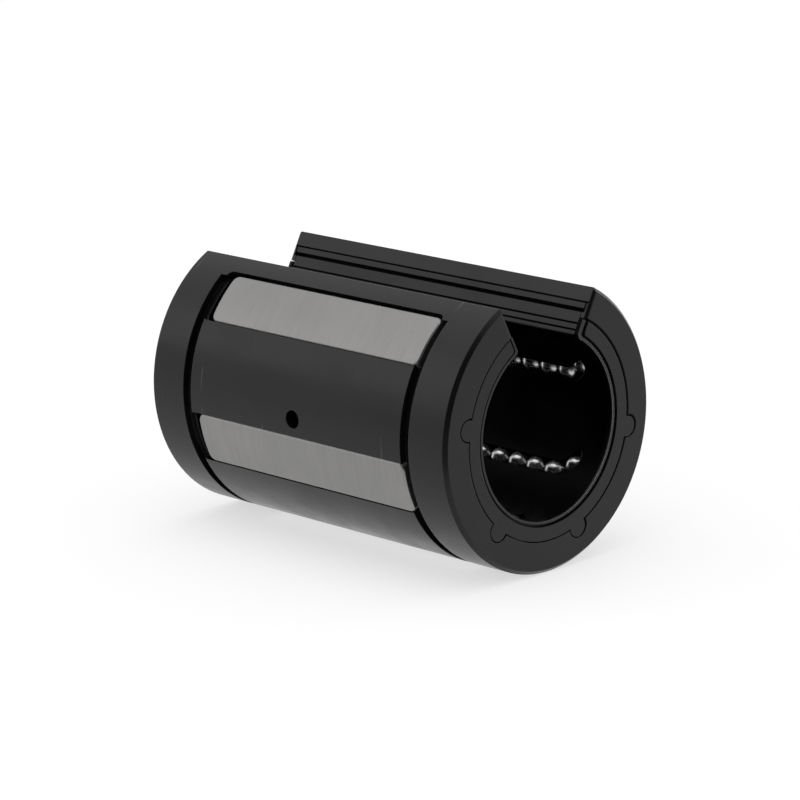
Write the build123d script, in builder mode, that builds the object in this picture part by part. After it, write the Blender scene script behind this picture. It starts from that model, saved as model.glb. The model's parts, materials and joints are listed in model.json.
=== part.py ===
from build123d import *
import os
from math import asin, cos, degrees, radians, sin

# Open linear ball bushing: a slotted moulded sleeve, steel bearing plates and a ball cage.
# Sizes are in millimetres. The bore lies along X and the slot opens upwards. The origin is on
# the bore axis at mid-length. Angles go round the bore from the middle of the slot towards -Y,
# the side with the fixing hole.

# Standard sizes that the shaft, the housing and its retaining rings have to match
shaft_dia = 30.0
outer_dia = 47.0
bushing_length = 68.0
slot_width = 13.7
ring_groove_width = 1.85
ring_groove_dia = 44.5
ring_groove_span = 52.1
fixing_hole_dia = 3.0

# Balls: each circuit has a load row, a return row and a half-round turn at each end
ball_dia = 3.969
ball_gap = 0.05
balls_in_turn = 3
first_ball_setback = 0.36
race_end_wall = 1.5
circuits = 5
circuit_step = 60.0
first_circuit_angle = 48.0

# Outer sleeve
sleeve_bore_dia = 39.7
sleeve_end_chamfer = 0.6
slot_edge_radius = 0.15
slot_end_radius = 0.6
ring_groove_stop = 38.0

# Bearing plates
plate_length = 47.4
plate_width = 8.76
plate_corner = 1.2
plate_edge = 0.2
plate_play = 1.0
plate_shoulder_width = 10.0
plate_shoulder_height = 1.2
first_window_gap = 0.55

# Ball cage
cage_bore_dia = 30.6
rail_height = 0.9
rail_width = 1.8
rail_inset = 1.0
rail_gap = 0.28
rail_slit_inset = 0.4
rail_groove_height = 0.65
rail_groove_depth = 1.2
wall_line_width = 0.22
wall_line_depth = 0.4
wall_line_places = (0.9, 2.0)

# End rings and wipers
end_ring_depth = 1.2
end_ring_dia = 36.6
end_ring_flange = 0.5
lug_angle = 32.5
lug_dia = 3.8
lug_place_dia = 37.0
wiper_width = 1.85
wiper_lip = 0.4
wiper_groove = 0.45
wiper_corner = 0.6
wiper_web = 0.5
wiper_inset = 0.2

# Clearances
ball_clearance = 0.12
raceway_clearance = 0.06
window_clearance = 0.12
seam_gap = 0.22
joint_clearance = 0.1

# Sizes worked out from those above
shaft_radius = shaft_dia / 2
outer_radius = outer_dia / 2
half_length = bushing_length / 2
sleeve_bore_radius = sleeve_bore_dia / 2
cage_bore_radius = cage_bore_dia / 2
cage_outer_radius = sleeve_bore_radius - joint_clearance
end_ring_radius = end_ring_dia / 2
end_ring_back = half_length - end_ring_depth
slot_half_angle = degrees(asin(slot_width / shaft_dia))
body_arc = 360 - 2 * slot_half_angle

ball_radius = ball_dia / 2
ball_pitch = ball_dia + ball_gap
race_radius = ball_radius + ball_clearance
load_radius = shaft_radius + ball_radius
turn_step = 180 / balls_in_turn
turn_radius = ball_pitch / (2 * sin(radians(turn_step / 2)))
# A row holds as many balls as the cage has room for between its two turns
cage_length = 2 * (end_ring_back - joint_clearance)
turn_reach = turn_radius + race_radius + race_end_wall
balls_in_row = int((cage_length - 2 * turn_reach) / ball_pitch)
row_length = balls_in_row * ball_pitch
row_half = row_length / 2
row_places = [row_half - first_ball_setback - i * ball_pitch for i in range(balls_in_row)]
# The balls in a turn stand this far round it, because those in the rows are set back
turn_lead = turn_step * (1 - first_ball_setback / ball_pitch)
circuit_angles = [first_circuit_angle + circuit_step * i for i in range(circuits)]

raceway_radius = ball_radius + raceway_clearance
plate_under = load_radius + ball_radius + ball_clearance
shoulder_under = plate_under - plate_shoulder_height
shoulder_half = row_half - ball_radius - plate_play - joint_clearance
window_length = plate_length + 2 * plate_play + joint_clearance
window_width = plate_width + 2 * window_clearance

rebate_length = bushing_length - 2 * (rail_inset - rail_gap)
rebate_height = rail_height + joint_clearance + rail_gap
groove_middle = (ring_groove_span - ring_groove_width) / 2
end_ring_thickness = end_ring_depth - joint_clearance
ring_back = end_ring_back + joint_clearance
wiper_reach = end_ring_thickness - wiper_inset


def wall_plane(angle):
    """The plane through the bore axis at this angle: local x along the bore, local y outwards."""
    a = radians(angle)
    return Plane(origin=(0, 0, 0), x_dir=(1, 0, 0), z_dir=(0, -cos(a), -sin(a)))


def outward_plane(angle, radius):
    """The plane at this angle that faces outwards, at this distance from the bore axis."""
    a = radians(angle)
    outwards = Vector(0, -sin(a), cos(a))
    return Plane(origin=outwards * radius, x_dir=(1, 0, 0), z_dir=outwards)


def cross_plane(angle, x=0.0):
    """The plane across the bore, turned so that its local y points outwards at this angle."""
    a = radians(angle)
    return Plane(origin=(x, 0, 0), x_dir=(0, cos(a), sin(a)), z_dir=(1, 0, 0))


def arc_of(width, radius):
    """The angle that this width takes round the bore at this radius."""
    return degrees(width / radius)


def slot_wall_planes(arc, behind=0.0):
    """Where an arc of this angle starts at each wall of the slot, set this angle behind the wall."""
    near = slot_half_angle + behind
    return [wall_plane(near), wall_plane(360 - near - arc)]


def outward_planes(radius):
    """The outward plane of every circuit at this distance from the bore axis."""
    return [outward_plane(angle, radius) for angle in circuit_angles]


def lug_places():
    """The lugs' places on the end face: one in each bridge between two plates."""
    angles = [radians(angle + lug_angle) for angle in circuit_angles[:-1]]
    return [(-lug_place_dia / 2 * sin(a), lug_place_dia / 2 * cos(a)) for a in angles]


def bore_and_slot(inset):
    """Outline of the bore with the slot above it, with its walls moved this far into the material."""
    apex = (0, -inset / sin(radians(slot_half_angle)))
    with BuildSketch() as outline:
        Circle(shaft_radius + inset)
        with BuildLine():
            far_wall = PolarLine(apex, outer_dia, 90 - slot_half_angle)
            near_wall = PolarLine(apex, outer_dia, 90 + slot_half_angle)
            Line(far_wall @ 1, near_wall @ 1)
        make_face()
        # The corners between the bore and the slot come next below the slot's outer corners
        fillet(outline.vertices().sort_by(Axis.Y)[-4:-2], wiper_corner)
    return outline.sketch


# Ball race: the round tunnel of one circuit, drawn at the top of the bushing
with BuildPart() as ball_race:
    with BuildLine(Plane.XY.offset(load_radius)) as race_path:
        Line((-row_half, 0), (row_half, 0))
        CenterArc((row_half, -turn_radius), turn_radius, 90, -180)
        Line((row_half, -2 * turn_radius), (-row_half, -2 * turn_radius))
        CenterArc((-row_half, -turn_radius), turn_radius, -90, -180)
    with BuildSketch(Plane(origin=(-row_half, 0, load_radius), z_dir=(1, 0, 0))):
        Circle(race_radius)
    sweep(path=race_path.wires()[0])

# Outer sleeve
with BuildPart() as outer_sleeve:
    with BuildSketch(wall_plane(slot_half_angle)):
        with BuildLine():
            Polyline(
                (-half_length, end_ring_radius),
                (-half_length, outer_radius - sleeve_end_chamfer),
                (-half_length + sleeve_end_chamfer, outer_radius),
                (half_length - sleeve_end_chamfer, outer_radius),
                (half_length, outer_radius - sleeve_end_chamfer),
                (half_length, end_ring_radius),
                (end_ring_back, end_ring_radius),
                (end_ring_back, sleeve_bore_radius),
                (-end_ring_back, sleeve_bore_radius),
                (-end_ring_back, end_ring_radius),
                close=True,
            )
        make_face()
    revolve(axis=Axis.X, revolution_arc=body_arc)
    # Rounded edges of the slot, down both end faces and along its length
    straight_edges = outer_sleeve.edges().filter_by(GeomType.LINE).group_by(Axis.X)
    fillet(straight_edges[0] + straight_edges[-1], slot_end_radius)
    fillet(outer_sleeve.edges().filter_by(Axis.X).sort_by(Axis.Z)[-2:], slot_edge_radius)
    # Ring grooves, which stop at the bars beside the slot
    with BuildSketch(wall_plane(ring_groove_stop)):
        with Locations((-groove_middle, outer_radius), (groove_middle, outer_radius)):
            Rectangle(ring_groove_width, outer_dia - ring_groove_dia)
    revolve(axis=Axis.X, revolution_arc=360 - 2 * ring_groove_stop, mode=Mode.SUBTRACT)
    # Windows for the plates; the first one is wider on the side of the slot
    with BuildSketch(*outward_planes(load_radius)):
        RectangleRounded(window_length, window_width, plate_corner)
    extrude(amount=outer_radius, mode=Mode.SUBTRACT)
    with BuildSketch(outward_plane(first_circuit_angle, load_radius)):
        with Locations((0, first_window_gap)):
            RectangleRounded(window_length, window_width, plate_corner)
    extrude(amount=outer_radius, mode=Mode.SUBTRACT)
    # Room for the balls behind the cage
    for angle in circuit_angles:
        add(ball_race.part, rotation=(angle, 0, 0), mode=Mode.SUBTRACT)
    # Rebates in the walls of the slot for the rails of the cage, with a longer slit over each rail
    rebate_arc = arc_of(rail_width + joint_clearance, sleeve_bore_radius)
    with BuildSketch(*slot_wall_planes(rebate_arc)):
        with Locations((0, sleeve_bore_radius - joint_clearance)):
            Rectangle(rebate_length, rebate_height, align=(Align.CENTER, Align.MIN))
        with Locations((0, sleeve_bore_radius + rail_height)):
            Rectangle(2 * (half_length - rail_slit_inset), rail_gap, align=(Align.CENTER, Align.MIN))
    revolve(axis=Axis.X, revolution_arc=rebate_arc, mode=Mode.SUBTRACT)
    # Ends of the grooves that run under the rails
    groove_arc = arc_of(rail_groove_depth, sleeve_bore_radius)
    with BuildSketch(*slot_wall_planes(groove_arc)):
        with Locations((0, sleeve_bore_radius)):
            Rectangle(rebate_length, rail_groove_height, align=(Align.CENTER, Align.MAX))
    revolve(axis=Axis.X, revolution_arc=groove_arc, mode=Mode.SUBTRACT)
    # Pockets for the lugs of the end rings
    with BuildSketch(Plane.YZ.offset(end_ring_back), Plane.YZ.offset(-half_length)):
        with Locations(*lug_places()):
            Circle(lug_dia / 2)
    extrude(amount=end_ring_depth, mode=Mode.SUBTRACT)
    # Fixing hole, level with the bore axis
    with BuildSketch(outward_plane(90, load_radius)):
        Circle(fixing_hole_dia / 2)
    extrude(amount=outer_radius, mode=Mode.SUBTRACT)
outer_sleeve.part.label = "outer_sleeve"

# Ball cage
with BuildPart() as ball_cage:
    with BuildSketch(wall_plane(slot_half_angle)):
        with Locations((0, (cage_bore_radius + cage_outer_radius) / 2)):
            Rectangle(cage_length, cage_outer_radius - cage_bore_radius)
    revolve(axis=Axis.X, revolution_arc=body_arc)
    # Groove along each wall of the slot, under the rail
    with BuildSketch(*slot_wall_planes(groove_arc)):
        with Locations((0, sleeve_bore_radius)):
            Rectangle(bushing_length, rail_groove_height, align=(Align.CENTER, Align.MAX))
    revolve(axis=Axis.X, revolution_arc=groove_arc, mode=Mode.SUBTRACT)
    # Rails that snap into the rebates of the sleeve, and the necks that carry them
    rail_arc = arc_of(rail_width, sleeve_bore_radius)
    with BuildSketch(*slot_wall_planes(rail_arc)):
        with Locations((0, sleeve_bore_radius + rail_height / 2)):
            Rectangle(2 * (half_length - rail_inset), rail_height)
    revolve(axis=Axis.X, revolution_arc=rail_arc)
    neck_arc = rail_arc - groove_arc
    with BuildSketch(*slot_wall_planes(neck_arc, behind=groove_arc)):
        with Locations((0, sleeve_bore_radius)):
            Rectangle(cage_length, rail_height)
    revolve(axis=Axis.X, revolution_arc=neck_arc)
    # Two fine lines lower down in each wall
    line_arc = arc_of(wall_line_depth, cage_bore_radius)
    with BuildSketch(*slot_wall_planes(line_arc)):
        with Locations(*[(0, cage_bore_radius + place) for place in wall_line_places]):
            Rectangle(bushing_length, wall_line_width)
    revolve(axis=Axis.X, revolution_arc=line_arc, mode=Mode.SUBTRACT)
    # Races, which are open towards the sleeve and, under the load rows, towards the shaft
    for angle in circuit_angles:
        add(ball_race.part, rotation=(angle, 0, 0), mode=Mode.SUBTRACT)
    with BuildSketch(*outward_planes(load_radius)):
        with Locations((0, -turn_radius)):
            SlotCenterToCenter(row_length, 2 * (turn_radius + race_radius))
            SlotCenterToCenter(row_length, 2 * (turn_radius - race_radius), mode=Mode.SUBTRACT)
    extrude(amount=outer_radius, mode=Mode.SUBTRACT)
    # Seats for the plates and their shoulders
    with BuildSketch(*outward_planes(plate_under - joint_clearance)):
        Rectangle(window_length + joint_clearance, window_width)
    extrude(amount=outer_radius, mode=Mode.SUBTRACT)
    with BuildSketch(*outward_planes(shoulder_under - joint_clearance)):
        shoulder_seat_length = 2 * (shoulder_half + plate_play) + joint_clearance
        Rectangle(shoulder_seat_length, plate_shoulder_width + 2 * joint_clearance)
    extrude(amount=outer_radius, mode=Mode.SUBTRACT)
ball_cage.part.label = "ball_cage"

os.makedirs("parts", exist_ok=True)
export_step(outer_sleeve.part, "parts/outer_sleeve.step")
export_step(ball_cage.part, "parts/ball_cage.step")

# Bearing plates, each lying at the front end of its play
for number, angle in enumerate(circuit_angles, start=1):
    with BuildPart() as bearing_plate:
        # Back of the plate, which fills the window
        with BuildSketch(cross_plane(angle, plate_play)):
            with Locations((0, plate_under)):
                Rectangle(plate_width, outer_radius, align=(Align.CENTER, Align.MIN))
            Circle(outer_radius, mode=Mode.INTERSECT)
        extrude(amount=plate_length / 2, both=True)
        outwards = Axis((0, 0, 0), outward_plane(angle, 0).z_dir)
        fillet(bearing_plate.edges().filter_by(outwards), plate_corner)
        ground_back = bearing_plate.faces().filter_by(GeomType.CYLINDER).sort_by(SortBy.AREA)[-1]
        chamfer(ground_back.edges(), plate_edge)
        # Shoulders, which are wider than the window and hold the plate in
        with BuildSketch(cross_plane(angle, plate_play)):
            with Locations((0, shoulder_under)):
                Rectangle(plate_shoulder_width, outer_radius, align=(Align.CENTER, Align.MIN))
            Circle(cage_outer_radius, mode=Mode.INTERSECT)
        extrude(amount=shoulder_half, both=True)
        # Raceway for the load row
        with BuildSketch(cross_plane(angle)):
            with Locations((0, load_radius)):
                Circle(raceway_radius)
        extrude(amount=half_length, both=True, mode=Mode.SUBTRACT)
    bearing_plate.part.label = f"bearing_plate_{number}"
    export_step(bearing_plate.part, f"parts/bearing_plate_{number}.step")

# End rings: round the wipers, flush with the sleeve's end faces
for end, side in (("front", 1), ("rear", -1)):
    with BuildPart() as end_ring:
        with BuildSketch(Plane.YZ.offset(side * ring_back)):
            Circle(end_ring_radius - seam_gap)
            with Locations(*lug_places()):
                Circle(lug_dia / 2 - seam_gap)
            add(bore_and_slot(wiper_lip + wiper_groove), mode=Mode.SUBTRACT)
        extrude(amount=side * end_ring_thickness)
        # Seat of the wiper, behind the flange of the ring
        with BuildSketch(Plane.YZ.offset(side * ring_back)):
            add(bore_and_slot(wiper_width + joint_clearance))
        extrude(amount=side * (end_ring_thickness - end_ring_flange), mode=Mode.SUBTRACT)
    end_ring.part.label = f"{end}_end_ring"
    export_step(end_ring.part, f"parts/{end}_end_ring.step")

# Wipers: a web held by the end ring, and a thin lip that goes round the bore and up the slot
for end, side in (("front", 1), ("rear", -1)):
    with BuildPart() as wiper:
        for width, height in ((wiper_width, wiper_web), (wiper_lip, wiper_reach)):
            with BuildSketch(Plane.YZ.offset(side * ring_back)):
                Circle(end_ring_radius - seam_gap)
                add(bore_and_slot(width), mode=Mode.INTERSECT)
                add(bore_and_slot(0), mode=Mode.SUBTRACT)
            extrude(amount=side * height)
    wiper.part.label = f"{end}_wiper"
    export_step(wiper.part, f"parts/{end}_wiper.step")

# Balls: every ball stands one pitch behind the next, all the way round its circuit
for number, angle in enumerate(circuit_angles, start=1):
    track = outward_plane(angle, load_radius).location
    with BuildPart() as load_balls:
        with Locations(*[track * Location((x, 0, 0)) for x in row_places]):
            Sphere(ball_radius)
    load_balls.part.label = f"load_balls_{number}"
    export_step(load_balls.part, f"parts/load_balls_{number}.step")
    with BuildPart() as return_balls:
        with Locations(*[track * Location((-x, -2 * turn_radius, 0)) for x in row_places]):
            Sphere(ball_radius)
    return_balls.part.label = f"return_balls_{number}"
    export_step(return_balls.part, f"parts/return_balls_{number}.step")
    for end, side in (("front", 1), ("rear", -1)):
        turned = [radians(side * 90 - turn_lead - i * turn_step) for i in range(balls_in_turn)]
        turn_places = [
            (side * row_half + turn_radius * cos(a), turn_radius * sin(a) - turn_radius, 0) for a in turned
        ]
        with BuildPart() as turn_balls:
            with Locations(*[track * Location(place) for place in turn_places]):
                Sphere(ball_radius)
        turn_balls.part.label = f"{end}_turn_balls_{number}"
        export_step(turn_balls.part, f"parts/{end}_turn_balls_{number}.step")
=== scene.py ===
import json
import math

import bpy
from mathutils import Matrix, Vector


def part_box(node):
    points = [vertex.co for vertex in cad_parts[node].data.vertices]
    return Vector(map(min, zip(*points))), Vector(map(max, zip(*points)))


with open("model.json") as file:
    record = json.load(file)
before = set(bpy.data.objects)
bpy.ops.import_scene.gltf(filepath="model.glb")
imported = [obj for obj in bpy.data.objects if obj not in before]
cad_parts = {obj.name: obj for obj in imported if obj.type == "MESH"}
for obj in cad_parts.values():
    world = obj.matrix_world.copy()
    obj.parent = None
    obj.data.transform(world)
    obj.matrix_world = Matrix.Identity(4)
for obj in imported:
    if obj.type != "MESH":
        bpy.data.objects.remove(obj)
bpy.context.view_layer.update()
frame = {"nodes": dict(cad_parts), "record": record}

# Camera, fitted to the outline of the sleeve in the photograph. Lengths are in metres.
IMAGE_SIZE = 800
SENSOR_WIDTH = 36.0
FOCAL_PIXELS = 3603.4
CAMERA_PLACE = Vector((0.40627, -0.40201, 0.14173))
VIEW_DIRECTION = Vector((-0.68903, 0.68296, -0.24250))
VIEW_UP = Vector((-0.16394, 0.17905, 0.97009))
CLIP_NEAR = 0.01
CLIP_FAR = 50.0

# The cage's wall, to a tenth of a millimetre, and the floor's side
CAGE_WALL = 0.0045
FLOOR_SIZE = 12.0

# Sizes that the finishes and the stage need, worked out from the frame
SLEEVE_LOW, SLEEVE_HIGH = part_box("outer_sleeve")
OUTER_RADIUS = (SLEEVE_HIGH.y - SLEEVE_LOW.y) / 2
BORE_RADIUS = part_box("ball_cage")[1].y - CAGE_WALL
END_FACE = SLEEVE_HIGH.x
FLOOR_HEIGHT = SLEEVE_LOW.z

# The end ring's recess as the painted shade of the seam shows it: a circle with lugs, a little to the
# right of the ring
RECESS_RADIUS = 0.0183
LUG_PLACE_RADIUS = 0.0185
LUG_RADIUS = 0.0019
LUG_ANGLES = [80.5, 140.5, 200.5, 260.5]
RECESS_SHIFT = Vector((0, 0.0003, 0.00008))

# Lines of painted shade along the wall of the slot: their distance from the bore axis and half their
# width
WALL_SHADE_LINES = [(0.0162, 0.00014), (0.0173, 0.00014), (0.0195, 0.0003)]

# Where the painted shade fades: at the recess, the face, the bore, a line and the groove
SEAM_FADE = (-0.00002, 0.00003)
FACE_FADE = (END_FACE - 0.0002, END_FACE - 0.0001)
BORE_FADE = (BORE_RADIUS + 0.0001, BORE_RADIUS + 0.0004)
LINE_FADE = 0.00006
GROOVE_FADE = (END_FACE - 0.0007, END_FACE - 0.0004)

# The outer radius of the wiper's lip, and where the highlight painted on its edge fades, outwards and
# to the left
LIP_RADIUS = 0.0154
LIP_HIGHLIGHT_OUTWARDS = (LIP_RADIUS, LIP_RADIUS + 0.0004)
LIP_HIGHLIGHT_FROM_LEFT = (-0.006, 0.012)

# Scratches: cells to the metre along the bore and round it, and a shift that keeps the sets apart
SCRATCH_SETS = [(900, 55, Vector((3.7, 7.4, 11.1))), (700, 42, Vector((9.1, 18.2, 27.3)))]

# Black of the painted shade, and the two black plastics
PAINTED_SHADE_BLACK = 0.0008
SLEEVE_PLASTIC = {"level": 0.0045, "roughness": 0.31, "gloss": 0.28}
CAGE_PLASTIC = {"level": 0.004, "roughness": 0.38, "gloss": 0.28}

# How light the floor is, and how much of its own light it shows, to the camera and in gloss
FLOOR_LEVEL = 0.46
FLOOR_LIFT = 0.62
FLOOR_LEVEL_IN_GLOSS = 0.25
FLOOR_LIFT_IN_GLOSS = 0.8

# About how many metres in front of the object the lit table ends, and where it is fully dark
TABLE_END = 0.05
TABLE_DARK = 0.12

# The dark room: the cosines of its edge and of its darkest part, and its level
ROOM_EDGE = 0.42
ROOM_MIDDLE = 0.78
ROOM_LEVEL = 0.02

# The backdrop's level as a light, and the lamps: name, place, size and watts
WORLD_LEVEL = 0.7
LAMPS = [
    ("top_lamp", (-0.1, -0.2, 1.2), 1.2, 3.0),
    ("left_lamp", (-0.9, -1.0, 0.7), 0.8, 1.2),
    ("right_lamp", (1.2, 0.2, 0.6), 0.8, 0.8),
]


class Nodes:
    """A node tree whose nodes are made by short calls."""

    def __init__(self, tree, coordinates):
        self.tree = tree
        self.place = self.node("ShaderNodeTexCoord").outputs[coordinates]

    def node(self, kind, **settings):
        made = self.tree.nodes.new(kind)
        for name, value in settings.items():
            setattr(made, name, value)
        return made

    def link(self, source, target):
        self.tree.links.new(source, target)

    def put(self, socket, value):
        """Sets a socket to a value, or joins it to another node's output."""
        if isinstance(value, bpy.types.NodeSocket):
            self.link(value, socket)
        else:
            socket.default_value = value

    def maths(self, operation, first, second=0.0):
        made = self.node("ShaderNodeMath", operation=operation)
        self.put(made.inputs[0], first)
        self.put(made.inputs[1], second)
        return made.outputs[0]

    def times(self, first, second):
        return self.maths("MULTIPLY", first, second)

    def opposite(self, amount):
        """One where the amount is nought, and nought where it is one."""
        return self.maths("SUBTRACT", 1.0, amount)

    def vector_maths(self, operation, first, second):
        made = self.node("ShaderNodeVectorMath", operation=operation)
        self.put(made.inputs[0], first)
        self.put(made.inputs[1], second)
        return made.outputs["Value" if operation in ("DISTANCE", "DOT_PRODUCT") else "Vector"]

    def band(self, value, low, high, to_low=0.0, to_high=1.0):
        """Spreads the stretch from low to high over to_low to to_high, smoothly at both ends."""
        made = self.node("ShaderNodeMapRange", interpolation_type="SMOOTHSTEP")
        self.put(made.inputs["Value"], value)
        self.put(made.inputs["From Min"], low)
        self.put(made.inputs["From Max"], high)
        self.put(made.inputs["To Min"], to_low)
        self.put(made.inputs["To Max"], to_high)
        return made.outputs["Result"]

    def fade(self, value, low, high):
        """One up to low and nought from high on."""
        return self.band(value, low, high, to_low=1.0, to_high=0.0)

    def blend(self, amount, first, second):
        """Mixes two colours by an amount."""
        made = self.node("ShaderNodeMix", data_type="RGBA")
        self.put(made.inputs["Factor"], amount)
        self.put(made.inputs[6], first)
        self.put(made.inputs[7], second)
        return made.outputs[2]

    def seen_ray(self):
        """One for the rays that show the backdrop: from the camera, or by gloss or glass."""
        path = self.node("ShaderNodeLightPath").outputs
        total = self.maths("ADD", path["Is Camera Ray"], path["Is Glossy Ray"])
        total = self.maths("ADD", total, path["Is Transmission Ray"])
        return self.maths("MINIMUM", total, 1.0)

    def glossy_ray(self):
        return self.node("ShaderNodeLightPath").outputs["Is Glossy Ray"]


class Material(Nodes):
    """A material with one shader, in the object's coordinates in metres."""

    def __init__(self, name):
        self.material = bpy.data.materials.new(name)
        self.material.use_nodes = True
        super().__init__(self.material.node_tree, "Object")
        self.shader = self.tree.nodes["Principled BSDF"]

    def set(self, socket, value):
        self.put(self.shader.inputs[socket], value)

    def axes(self):
        """The three object coordinates, by their names."""
        parts = self.node("ShaderNodeSeparateXYZ")
        self.link(self.place, parts.inputs[0])
        return parts.outputs

    def across(self):
        """Object coordinates without the one along the bore."""
        return self.vector_maths("MULTIPLY", self.place, (0, 1, 1))

    def radius(self):
        """How far a point lies from the bore axis."""
        return self.vector_maths("DISTANCE", self.across(), (0, 0, 0))

    def from_middle(self):
        """How far a point lies from the middle of the bushing, along the bore."""
        return self.maths("ABSOLUTE", self.axes()["X"])

    def spread(self, per_metre):
        """Object coordinates with this many cells to the metre."""
        made = self.node("ShaderNodeMapping")
        self.link(self.place, made.inputs["Vector"])
        made.inputs["Scale"].default_value = (per_metre, per_metre, per_metre)
        return made.outputs["Vector"]

    def around(self, along, about, outwards):
        """Coordinates along the bore, about it and out from it, with these cells to the metre."""
        axes = self.axes()
        angle = self.maths("ARCTAN2", axes["Y"], axes["Z"])
        joined = self.node("ShaderNodeCombineXYZ")
        self.link(self.times(axes["X"], along), joined.inputs["X"])
        self.link(self.times(angle, about * OUTER_RADIUS), joined.inputs["Y"])
        self.link(self.times(self.radius(), outwards), joined.inputs["Z"])
        return joined.outputs[0]

    def noise(self, place, detail, roughness=0.55):
        made = self.node("ShaderNodeTexNoise")
        self.link(place, made.inputs["Vector"])
        made.inputs["Scale"].default_value = 1.0
        made.inputs["Detail"].default_value = detail
        made.inputs["Roughness"].default_value = roughness
        return made.outputs["Fac"]

    def bump(self, height, strength, distance, below):
        """Lifts the surface's direction by a height, on top of the direction below."""
        made = self.node("ShaderNodeBump")
        made.inputs["Strength"].default_value = strength
        made.inputs["Distance"].default_value = distance
        self.link(height, made.inputs["Height"])
        self.link(below, made.inputs["Normal"])
        return made.outputs["Normal"]

    def rounded(self, radius):
        """The surface's direction with its edges rounded by this radius."""
        made = self.node("ShaderNodeBevel", samples=4)
        made.inputs["Radius"].default_value = radius
        return made.outputs["Normal"]

    def edges(self, radius):
        """One along the edges and nought on the faces."""
        true_normal = self.node("ShaderNodeNewGeometry").outputs["True Normal"]
        facing = self.vector_maths("DOT_PRODUCT", self.rounded(radius), true_normal)
        return self.band(self.opposite(facing), low=0.02, high=0.25)

    def paint_black_shade(self, colour, painted_shade):
        """The colour, with dull black painted as shade where the mask is one."""
        self.set("Metallic", painted_shade)
        return self.blend(painted_shade, colour, grey(PAINTED_SHADE_BLACK))


def grey(level, warmth=0.0):
    """A near-neutral colour. Warmth above nought leans to yellow and below it to blue."""
    return (level * (1 + warmth), level, level * (1 - warmth), 1.0)


def ring_seam_shade(m):
    """One in the seam to the right of the end ring, where the ring leaves a gap: there black is
    painted as shade.
    """
    across = m.across()
    from_centre = m.vector_maths("DISTANCE", across, RECESS_SHIFT)
    outline = m.maths("SUBTRACT", from_centre, RECESS_RADIUS)
    for angle in map(math.radians, LUG_ANGLES):
        lug = Vector((0, -math.sin(angle), math.cos(angle))) * LUG_PLACE_RADIUS + RECESS_SHIFT
        from_lug = m.vector_maths("DISTANCE", across, lug)
        outline = m.maths("MINIMUM", outline, m.maths("SUBTRACT", from_lug, LUG_RADIUS))
    # Painted shade: the seam's crescent of black, on the end face
    inside = m.fade(outline, *SEAM_FADE)
    on_face = m.band(m.from_middle(), *FACE_FADE)
    return m.times(inside, on_face)


def bore_and_lines_shade(m):
    """One on the wall of the bore and in the lines along the slot, where hardly any light gets in;
    black is painted there as shade.
    """
    radius = m.radius()
    painted_shade = m.fade(radius, *BORE_FADE)
    for line, half_width in WALL_SHADE_LINES:
        away = m.maths("ABSOLUTE", m.maths("SUBTRACT", radius, line))
        in_line = m.fade(away, half_width, half_width + LINE_FADE)
        painted_shade = m.maths("MAXIMUM", painted_shade, in_line)
    return painted_shade


def lip_groove_shade(m):
    """One in the groove behind the lip of the wiper, where black is painted as shade."""
    return m.fade(m.from_middle(), *GROOVE_FADE)


def scratch_lines(m, along, about, shift):
    """One set of long thin lines that run askew round the sleeve."""
    shifted = m.vector_maths("ADD", m.around(along, about, outwards=60), shift)
    return m.band(m.noise(shifted, detail=1), low=0.71, high=0.76)


def scratch_marks(m):
    """Both sets of scratches, in a few patches."""
    first, second = [scratch_lines(m, *settings) for settings in SCRATCH_SETS]
    patches = m.band(m.noise(m.spread(120), detail=1), low=0.52, high=0.62)
    return m.times(m.maths("MAXIMUM", first, second), patches)


def moulded_plastic(name, level, roughness, gloss, painted_shade=None):
    """Matte black moulded plastic: fine grain, cloudy gloss, thin scratches, and paler edges that are
    partly wear and partly a painted highlight. A mask, if given, adds painted shade.
    """
    m = Material(name)
    dark, pale = grey(level * 0.8), grey(level * 1.25, -0.02)
    streak, pale_edge_highlight, scratched = grey(level * 1.9), grey(level * 6), grey(level * 16)
    clouds = m.noise(m.spread(90), detail=4)
    streaks = m.noise(m.around(along=40, about=260, outwards=120), detail=3)
    grain = m.noise(m.spread(2600), detail=2, roughness=0.7)
    colour = m.blend(m.band(clouds, 0.35, 0.7), dark, pale)
    colour = m.blend(m.band(streaks, 0.55, 0.8, to_high=0.35), colour, streak)
    colour = m.blend(m.times(scratch_marks(m), 0.6), colour, scratched)
    # Paler edges: partly wear, partly a painted highlight
    colour = m.blend(m.times(m.edges(0.0001), 0.5), colour, pale_edge_highlight)
    # Painted shade: dull black where the mask is one
    if painted_shade:
        colour = m.paint_black_shade(colour, painted_shade(m))
    m.set("Base Color", colour)
    cloudy = m.band(clouds, 0.3, 0.7, roughness - 0.05, roughness + 0.06)
    m.set("Roughness", m.maths("SUBTRACT", cloudy, m.times(streaks, 0.06)))
    m.set("Specular IOR Level", gloss)
    m.set("Normal", m.bump(grain, strength=0.12, distance=0.00003, below=m.rounded(0.00015)))
    return m.material


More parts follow.
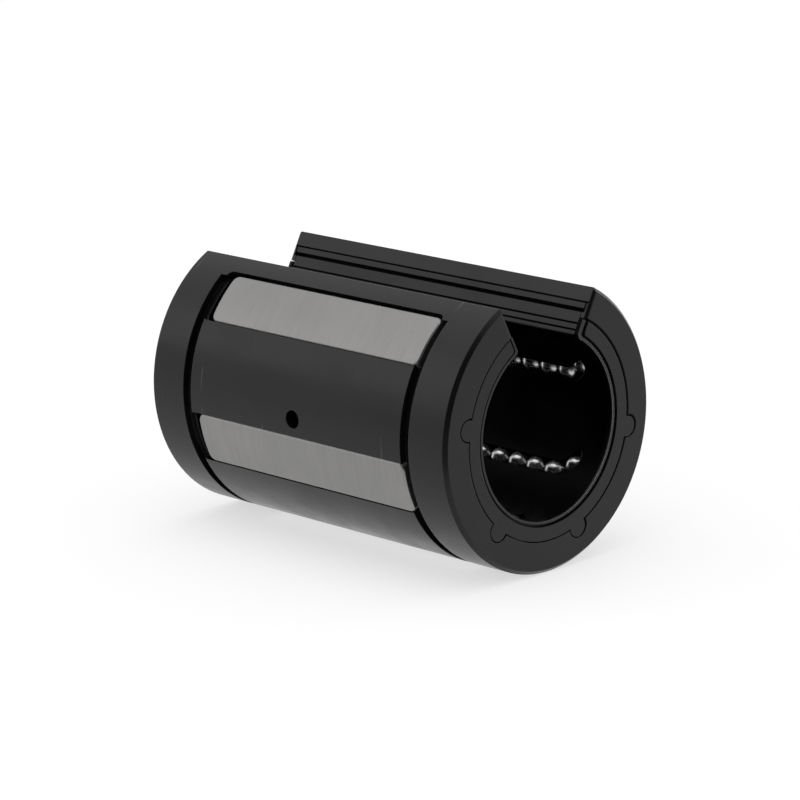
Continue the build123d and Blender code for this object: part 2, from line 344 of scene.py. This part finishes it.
def rubber(name):
    """Smooth black rubber with soft mottling, a highlight painted pale on the lip's edge, most on its
    right side, and painted shade in the groove behind the lip.
    """
    m = Material(name)
    dark, pale, pale_edge_highlight = grey(0.008), grey(0.016), grey(0.6)
    clouds = m.noise(m.spread(300), detail=3)
    grain = m.noise(m.spread(3200), detail=2)
    # Painted highlight on the lip's edge, stronger to the right
    on_lip = m.band(m.radius(), *LIP_HIGHLIGHT_OUTWARDS, to_low=1.0, to_high=0.1)
    to_right = m.band(m.axes()["Y"], *LIP_HIGHLIGHT_FROM_LEFT, to_low=0.15)
    lit_edge = m.times(m.edges(0.00015), m.times(on_lip, to_right))
    colour = m.blend(lit_edge, m.blend(clouds, dark, pale), pale_edge_highlight)
    # Painted shade: black in the groove behind the lip
    m.set("Base Color", m.paint_black_shade(colour, lip_groove_shade(m)))
    m.set("Specular IOR Level", 0.3)
    m.set("Roughness", m.band(clouds, 0.3, 0.7, 0.34, 0.46))
    m.set("Normal", m.bump(grain, strength=0.08, distance=0.00002, below=m.rounded(0.0001)))
    return m.material


def ground_steel(name):
    """Satin ground steel: fine lines round the bushing, soft patches, and bright edges that are
    partly wear and partly a painted highlight.
    """
    m = Material(name)
    dull, bright = grey(0.252, 0.012), grey(0.268, 0.016)
    line, sheen, speck, lit_edge = grey(0.21, 0.01), grey(0.29, 0.01), grey(0.12), grey(0.62, 0.01)
    lines = m.noise(m.around(along=5200, about=160, outwards=400), detail=3, roughness=0.65)
    broad = m.noise(m.around(along=700, about=60, outwards=100), detail=2)
    patches = m.noise(m.spread(70), detail=3)
    specks = m.band(m.noise(m.spread(1700), detail=1), 0.74, 0.8)
    colour = m.blend(m.band(patches, 0.3, 0.7), dull, bright)
    colour = m.blend(m.band(lines, 0.35, 0.7, to_high=0.08), colour, line)
    colour = m.blend(m.band(broad, 0.5, 0.75, to_high=0.1), colour, sheen)
    colour = m.blend(m.times(specks, 0.35), colour, speck)
    # Bright edges: partly wear, partly a painted highlight
    colour = m.blend(m.times(m.edges(0.0002), 0.6), colour, lit_edge)
    m.set("Base Color", colour)
    m.set("Metallic", 1.0)
    m.set("Roughness", m.band(lines, 0.3, 0.75, 0.4, 0.52))
    m.set("Normal", m.bump(lines, strength=0.05, distance=0.00002, below=m.rounded(0.00015)))
    return m.material


def polished_steel(name):
    """Ball steel with a thin film of oil and faint marks."""
    m = Material(name)
    oiled, bare = grey(0.46), grey(0.56, 0.01)
    film = m.noise(m.spread(900), detail=3)
    m.set("Base Color", m.blend(film, oiled, bare))
    m.set("Metallic", 1.0)
    m.set("Roughness", m.band(film, 0.35, 0.7, 0.2, 0.3))
    return m.material


def plain_pale(name):
    """The floor: white wherever the camera or a reflection sees it lit, darker in the shadow.

    In a reflection it is a lit white table, so the shadow shows less there, and it ends in front of
    the object, where the dark room begins.
    """
    m = Material(name)
    glossy = m.glossy_ray()
    to_camera = Vector((-VIEW_DIRECTION.x, -VIEW_DIRECTION.y, 0))
    beyond = m.band(m.vector_maths("DOT_PRODUCT", m.place, to_camera), TABLE_END, TABLE_DARK)
    table = m.opposite(m.times(glossy, beyond))
    lift = m.band(glossy, 0, 1, FLOOR_LIFT, FLOOR_LIFT_IN_GLOSS)
    m.set("Base Color", m.blend(glossy, grey(FLOOR_LEVEL), grey(FLOOR_LEVEL_IN_GLOSS)))
    m.set("Roughness", 0.9)
    m.set("Specular IOR Level", 0.0)
    m.set("Emission Color", grey(1.0))
    m.set("Emission Strength", m.times(table, m.times(m.seen_ray(), lift)))
    return m.material


def make_world():
    """A white backdrop that lights the object at a plain level.

    Gloss also shows the dark room in front of the object, where the camera stood.
    """
    world = bpy.data.worlds.new("backdrop")
    bpy.context.scene.world = world
    world.use_nodes = True
    w = Nodes(world.node_tree, "Generated")
    facing = w.vector_maths("DOT_PRODUCT", w.place, -VIEW_DIRECTION)
    room = w.band(facing, ROOM_EDGE, ROOM_MIDDLE, to_high=1.0 - ROOM_LEVEL)
    level = w.band(w.seen_ray(), 0, 1, WORLD_LEVEL, 1.0)
    background = w.tree.nodes["Background"]
    w.put(background.inputs["Strength"], w.times(level, w.opposite(w.times(room, w.glossy_ray()))))
    background.inputs["Color"].default_value = (1, 1, 1, 1)


def make_lamp(name, place, size, watts):
    """A square soft lamp that points at the object."""
    lamp = bpy.data.lights.new(name, "AREA")
    lamp.shape = "SQUARE"
    lamp.size = size
    lamp.energy = watts
    made = bpy.data.objects.new(name, lamp)
    bpy.context.scene.collection.objects.link(made)
    made.location = place
    made.rotation_euler = (-Vector(place)).to_track_quat("-Z", "Y").to_euler()


def make_floor():
    half = FLOOR_SIZE / 2
    mesh = bpy.data.meshes.new("floor")
    corners = [(-half, -half, 0), (half, -half, 0), (half, half, 0), (-half, half, 0)]
    mesh.from_pydata(corners, [], [(0, 1, 2, 3)])
    floor = bpy.data.objects.new("floor", mesh)
    floor.location.z = FLOOR_HEIGHT
    bpy.context.scene.collection.objects.link(floor)
    mesh.materials.append(plain_pale("floor_white"))


def make_camera():
    camera = bpy.data.cameras.new("camera")
    camera.sensor_width = SENSOR_WIDTH
    camera.lens = FOCAL_PIXELS / IMAGE_SIZE * SENSOR_WIDTH
    camera.clip_start = CLIP_NEAR
    camera.clip_end = CLIP_FAR
    made = bpy.data.objects.new("camera", camera)
    bpy.context.scene.collection.objects.link(made)
    right = VIEW_DIRECTION.cross(VIEW_UP).normalized()
    up = right.cross(VIEW_DIRECTION).normalized()
    back = -VIEW_DIRECTION.normalized()
    turn = Matrix((right, up, back)).transposed()
    made.matrix_world = Matrix.Translation(CAMERA_PLACE) @ turn.to_4x4()
    bpy.context.scene.camera = made


def dress_pieces():
    """Gives every piece the finish of its material slot. The sleeve's finish also has painted shade
    in the seam.
    """
    finishes = {
        "sleeve_plastic": moulded_plastic("sleeve_plastic", **SLEEVE_PLASTIC),
        "cage_plastic": moulded_plastic("cage_plastic", **CAGE_PLASTIC, painted_shade=bore_and_lines_shade),
        "wiper_rubber": rubber("wiper_rubber"),
        "plate_steel": ground_steel("plate_steel"),
        "ball_steel": polished_steel("ball_steel"),
    }
    sleeve_finish = moulded_plastic("sleeve_plastic_with_seam_shade", **SLEEVE_PLASTIC, painted_shade=ring_seam_shade)
    for row in frame["record"]["subparts"]:
        materials = frame["nodes"][row["node"]].data.materials
        materials.clear()
        is_sleeve = row["node"] == "outer_sleeve"
        materials.append(sleeve_finish if is_sleeve else finishes[row["material_slot"]])


make_camera()
make_world()
make_floor()
for lamp in LAMPS:
    make_lamp(*lamp)
dress_pieces()

bpy.context.scene.view_settings.view_transform = "Standard"
